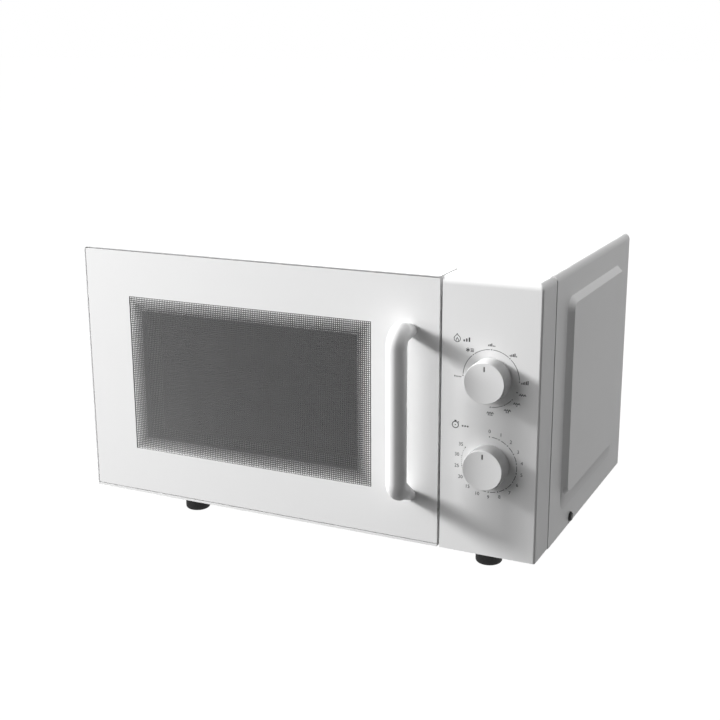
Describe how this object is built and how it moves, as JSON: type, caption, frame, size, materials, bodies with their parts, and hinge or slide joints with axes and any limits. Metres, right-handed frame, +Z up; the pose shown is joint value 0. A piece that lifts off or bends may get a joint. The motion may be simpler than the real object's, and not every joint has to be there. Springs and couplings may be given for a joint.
{
  "type": "microwave oven",
  "caption": "Countertop microwave oven with side-hinged window door, tubular handle, rotary power and timer knobs, glass turntable and rubber feet.",
  "frame": {"origin": "centre of the footprint of the whole oven, on the surface that the feet stand on", "axes": "+X to the right of a person facing the door, +Y from the door to the back, +Z up"},
  "size_m": [0.4498, 0.3346, 0.2582],
  "materials": {
    "white_paint": "satin white powder coat",
    "steel_sheet": "zinc plated sheet",
    "cavity_enamel": "pale grey enamel",
    "white_plastic": "gloss white",
    "grey_plastic": "satin",
    "black_plastic": "matt",
    "rubber": "matt",
    "dark_screen": "dark perforated sheet",
    "window_clear": "clear",
    "tray_glass": "clear",
    "mica": "mica sheet",
    "black_screw": "black",
    "zinc_screw": "zinc plated",
    "core_iron": "laminated",
    "winding": "enamelled copper",
    "aluminium_part": "bare",
    "heater": "heat stained",
    "motor": "plated",
    "board": "phenolic board",
    "lamp_glass": "clear"
  },
  "bodies": {
    "case": {"outer_cover": "white_paint", "front_plate": "steel_sheet", "base_plate": "steel_sheet", "rear_panel": "steel_sheet", "rear_spacers": "grey_plastic", "feet": "rubber", "side_screws": "black_screw", "rear_screws": "zinc_screw", "cord_gland": "black_plastic", "cavity_liner": "cavity_enamel", "waveguide": "steel_sheet", "waveguide_cover": "mica", "grill_element": "heater", "turntable_motor": "motor", "upper_hinge_bracket": "steel_sheet", "lower_hinge_bracket": "steel_sheet", "interlock_bracket": "steel_sheet", "interlock_switches": "black_plastic", "magnetron_yoke": "steel_sheet", "magnetron_core": "core_iron", "magnetron_fins": "aluminium_part", "magnetron_filter_box": "steel_sheet", "transformer_core": "core_iron", "transformer_windings": "winding", "capacitor": "aluminium_part", "high_voltage_diode": "black_plastic", "fan_motor": "motor", "fan_shroud": "steel_sheet", "filter_board": "board", "thermal_cutouts": "zinc_screw", "cavity_lamp": "lamp_glass", "control_panel": "white_plastic", "power_selector": "black_plastic", "timer_body": "black_plastic", "timer_bell": "zinc_screw"},
    "door": {"door_frame": "white_plastic", "door_front_panel": "white_plastic", "window_pane": "window_clear", "door_screen": "dark_screen", "choke_cover": "grey_plastic", "inner_window": "window_clear", "door_handle": "white_plastic", "handle_screws": "zinc_screw"},
    "latch": {"latch_slider": "grey_plastic", "latch_spring": "zinc_screw"},
    "power_dial": {"power_knob": "white_plastic", "power_shaft": "zinc_screw"},
    "timer_dial": {"timer_knob": "white_plastic", "timer_shaft": "zinc_screw"},
    "hammer": {"bell_hammer": "zinc_screw"},
    "turntable_drive": {"turntable_coupler": "grey_plastic"},
    "tray": {"glass_tray": "tray_glass"},
    "ring": {"roller_ring": "grey_plastic"},
    "wheel_1": {"roller_wheel_1": "grey_plastic"},
    "wheel_2": {"roller_wheel_2": "grey_plastic"},
    "wheel_3": {"roller_wheel_3": "grey_plastic"},
    "fan": {"fan_blade": "grey_plastic"},
    "plunger_upper": {"upper_plunger": "black_plastic"},
    "plunger_lower": {"lower_plunger": "black_plastic"},
    "plunger_monitor": {"monitor_plunger": "black_plastic"}
  },
  "joints": [
    {"name": "door_hinge", "type": "hinge", "parent": "case", "child": "door", "pos_m": [-0.212, -0.10525, 0.1414], "axis": [0, 0, -1], "range_deg": [0, 100]},
    {"name": "latch_lift", "type": "slide", "parent": "door", "child": "latch", "axis": [0, 0, 1], "range_m": [0, 0.004], "stiffness_N_per_m": 300, "springref_m": -0.004},
    {"name": "power_knob_turn", "type": "hinge", "parent": "case", "child": "power_dial", "pos_m": [0.1786, -0.12975, 0.1781], "axis": [0, 1, 0], "range_deg": [-90, 180]},
    {"name": "timer_knob_turn", "type": "hinge", "parent": "case", "child": "timer_dial", "pos_m": [0.1786, -0.12975, 0.1051], "axis": [0, 1, 0], "range_deg": [0, 300]},
    {"name": "bell_hammer_swing", "type": "hinge", "parent": "case", "child": "hammer", "pos_m": [0.1956, -0.09575, 0.0911], "axis": [0, -1, 0], "range_deg": [0, 8], "stiffness_Nm_per_rad": 0.002, "springref_deg": -11.46},
    {"name": "turntable_spin", "type": "hinge", "parent": "case", "child": "turntable_drive", "pos_m": [-0.0495, 0.03475, 0.0366], "axis": [0, 0, 1], "continuous": true},
    {"name": "tray_lift", "type": "slide", "parent": "turntable_drive", "child": "tray", "axis": [0, 0, 1], "range_m": [0, 0.008]},
    {"name": "roller_ring_spin", "type": "hinge", "parent": "case", "child": "ring", "pos_m": [-0.0495, 0.03475, 0.0366], "axis": [0, 0, 1], "continuous": true},
    {"name": "roller_wheel_1_spin", "type": "hinge", "parent": "ring", "child": "wheel_1", "pos_m": [-0.0495, 0.12625, 0.0444], "axis": [0, 1, 0], "continuous": true},
    {"name": "roller_wheel_2_spin", "type": "hinge", "parent": "ring", "child": "wheel_2", "pos_m": [-0.12874, -0.011, 0.0444], "axis": [-0.866, -0.5, 0], "continuous": true},
    {"name": "roller_wheel_3_spin", "type": "hinge", "parent": "ring", "child": "wheel_3", "pos_m": [0.02974, -0.011, 0.0444], "axis": [0.866, -0.5, 0], "continuous": true},
    {"name": "fan_spin", "type": "hinge", "parent": "case", "child": "fan", "pos_m": [0.16175, 0.12525, 0.1486], "axis": [0, 1, 0], "continuous": true},
    {"name": "plunger_upper_press", "type": "slide", "parent": "case", "child": "plunger_upper", "axis": [0, 1, 0], "range_m": [0, 0.001], "stiffness_N_per_m": 150, "springref_m": -0.002},
    {"name": "plunger_lower_press", "type": "slide", "parent": "case", "child": "plunger_lower", "axis": [0, 1, 0], "range_m": [0, 0.001], "stiffness_N_per_m": 150, "springref_m": -0.002},
    {"name": "plunger_monitor_press", "type": "slide", "parent": "case", "child": "plunger_monitor", "axis": [0, 1, 0], "range_m": [0, 0.001], "stiffness_N_per_m": 150, "springref_m": -0.002}
  ],
  "couplings": [
    {"joint": "roller_ring_spin", "follows": "turntable_spin", "ratio": 0.5},
    {"joint": "roller_wheel_1_spin", "follows": "turntable_spin", "ratio": -6.1},
    {"joint": "roller_wheel_2_spin", "follows": "turntable_spin", "ratio": -6.1},
    {"joint": "roller_wheel_3_spin", "follows": "turntable_spin", "ratio": -6.1}
  ]
}
